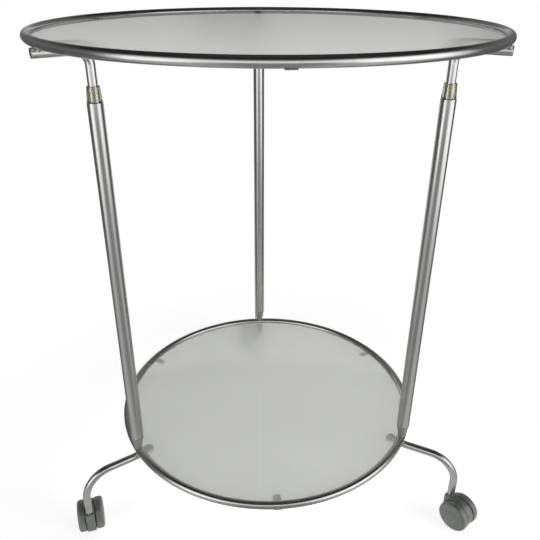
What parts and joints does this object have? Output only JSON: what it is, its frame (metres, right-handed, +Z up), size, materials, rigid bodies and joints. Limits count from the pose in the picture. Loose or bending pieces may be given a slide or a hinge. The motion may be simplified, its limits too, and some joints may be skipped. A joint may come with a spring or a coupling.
{
  "type": "bar cart",
  "caption": "Round tiered bar cart: steel ring frames hold a glass top and a lower glass shelf, joined by tube legs with bent arms, rolling on swivelling castors.",
  "frame": {"origin": "on the floor, under the middle of the outline", "axes": "+Z up; -Y is the side towards the viewer, with one leg at the back and two at the front; +X to the right"},
  "size_m": [0.5262, 0.5404, 0.6091],
  "materials": {
    "frame_steel": "satin nickel plate",
    "frosted_glass": "etched underneath, glossy on top, ground edge",
    "clear_plastic": "smoky translucent",
    "foot_plastic": "fine satin",
    "castor_plastic": "satin moulded nylon",
    "zinc_steel": "bright zinc plate"
  },
  "bodies": {
    "frame": {"top_ring": "frame_steel", "top_glass": "frosted_glass", "shelf_ring": "frame_steel", "shelf_glass": "frosted_glass", "top_tab_right": "frame_steel", "top_tab_pad_right": "clear_plastic", "shelf_tab_right": "frame_steel", "shelf_tab_pad_right": "clear_plastic", "top_tab_left": "frame_steel", "top_tab_pad_left": "clear_plastic", "shelf_tab_left": "frame_steel", "shelf_tab_pad_left": "clear_plastic", "top_tab_front": "frame_steel", "top_tab_pad_front": "clear_plastic", "shelf_tab_front": "frame_steel", "shelf_tab_pad_front": "clear_plastic", "upper_arm_rear": "frame_steel", "lower_arm_rear": "frame_steel", "top_arm_pad_rear": "clear_plastic", "shelf_arm_pad_rear": "clear_plastic", "collar_rear": "clear_plastic", "leg_tube_rear": "frame_steel", "foot_rear": "foot_plastic", "leg_stud_rear": "zinc_steel", "stem_bush_rear": "castor_plastic", "upper_arm_left": "frame_steel", "lower_arm_left": "frame_steel", "top_arm_pad_left": "clear_plastic", "shelf_arm_pad_left": "clear_plastic", "collar_left": "clear_plastic", "leg_tube_left": "frame_steel", "foot_left": "foot_plastic", "leg_stud_left": "zinc_steel", "stem_bush_left": "castor_plastic", "upper_arm_right": "frame_steel", "lower_arm_right": "frame_steel", "top_arm_pad_right": "clear_plastic", "shelf_arm_pad_right": "clear_plastic", "collar_right": "clear_plastic", "leg_tube_right": "frame_steel", "foot_right": "foot_plastic", "leg_stud_right": "zinc_steel", "stem_bush_right": "castor_plastic"},
    "castor_rear": {"castor_stem_rear": "zinc_steel", "castor_housing_rear": "castor_plastic", "castor_axle_rear": "zinc_steel"},
    "wheel_a_rear": {"castor_wheel_a_rear": "castor_plastic"},
    "wheel_b_rear": {"castor_wheel_b_rear": "castor_plastic"},
    "castor_left": {"castor_stem_left": "zinc_steel", "castor_housing_left": "castor_plastic", "castor_axle_left": "zinc_steel"},
    "wheel_a_left": {"castor_wheel_a_left": "castor_plastic"},
    "wheel_b_left": {"castor_wheel_b_left": "castor_plastic"},
    "castor_right": {"castor_stem_right": "zinc_steel", "castor_housing_right": "castor_plastic", "castor_axle_right": "zinc_steel"},
    "wheel_a_right": {"castor_wheel_a_right": "castor_plastic"},
    "wheel_b_right": {"castor_wheel_b_right": "castor_plastic"}
  },
  "joints": [
    {"name": "swivel_rear", "type": "hinge", "parent": "frame", "child": "castor_rear", "pos_m": [-0.00456, 0.25213, 0.045], "axis": [0, 0, 1], "continuous": true},
    {"name": "roll_a_rear", "type": "hinge", "parent": "castor_rear", "child": "wheel_a_rear", "pos_m": [-0.01942, 0.25317, 0.02], "axis": [0.0698, 0.9976, 0], "continuous": true},
    {"name": "roll_b_rear", "type": "hinge", "parent": "castor_rear", "child": "wheel_b_rear", "pos_m": [-0.01942, 0.25317, 0.02], "axis": [0.0698, 0.9976, 0], "continuous": true},
    {"name": "swivel_left", "type": "hinge", "parent": "frame", "child": "castor_left", "pos_m": [-0.24042, -0.15639, 0.045], "axis": [0, 0, 1], "continuous": true},
    {"name": "roll_a_left", "type": "hinge", "parent": "castor_left", "child": "wheel_a_left", "pos_m": [-0.24385, -0.14189, 0.02], "axis": [0.9732, 0.23, 0], "continuous": true},
    {"name": "roll_b_left", "type": "hinge", "parent": "castor_left", "child": "wheel_b_left", "pos_m": [-0.24385, -0.14189, 0.02], "axis": [0.9732, 0.23, 0], "continuous": true},
    {"name": "swivel_right", "type": "hinge", "parent": "frame", "child": "castor_right", "pos_m": [0.2313, -0.15639, 0.045], "axis": [0, 0, 1], "continuous": true},
    {"name": "roll_a_right", "type": "hinge", "parent": "castor_right", "child": "wheel_a_right", "pos_m": [0.24, -0.16849, 0.02], "axis": [-0.8121, -0.5835, 0], "continuous": true},
    {"name": "roll_b_right", "type": "hinge", "parent": "castor_right", "child": "wheel_b_right", "pos_m": [0.24, -0.16849, 0.02], "axis": [-0.8121, -0.5835, 0], "continuous": true}
  ]
}
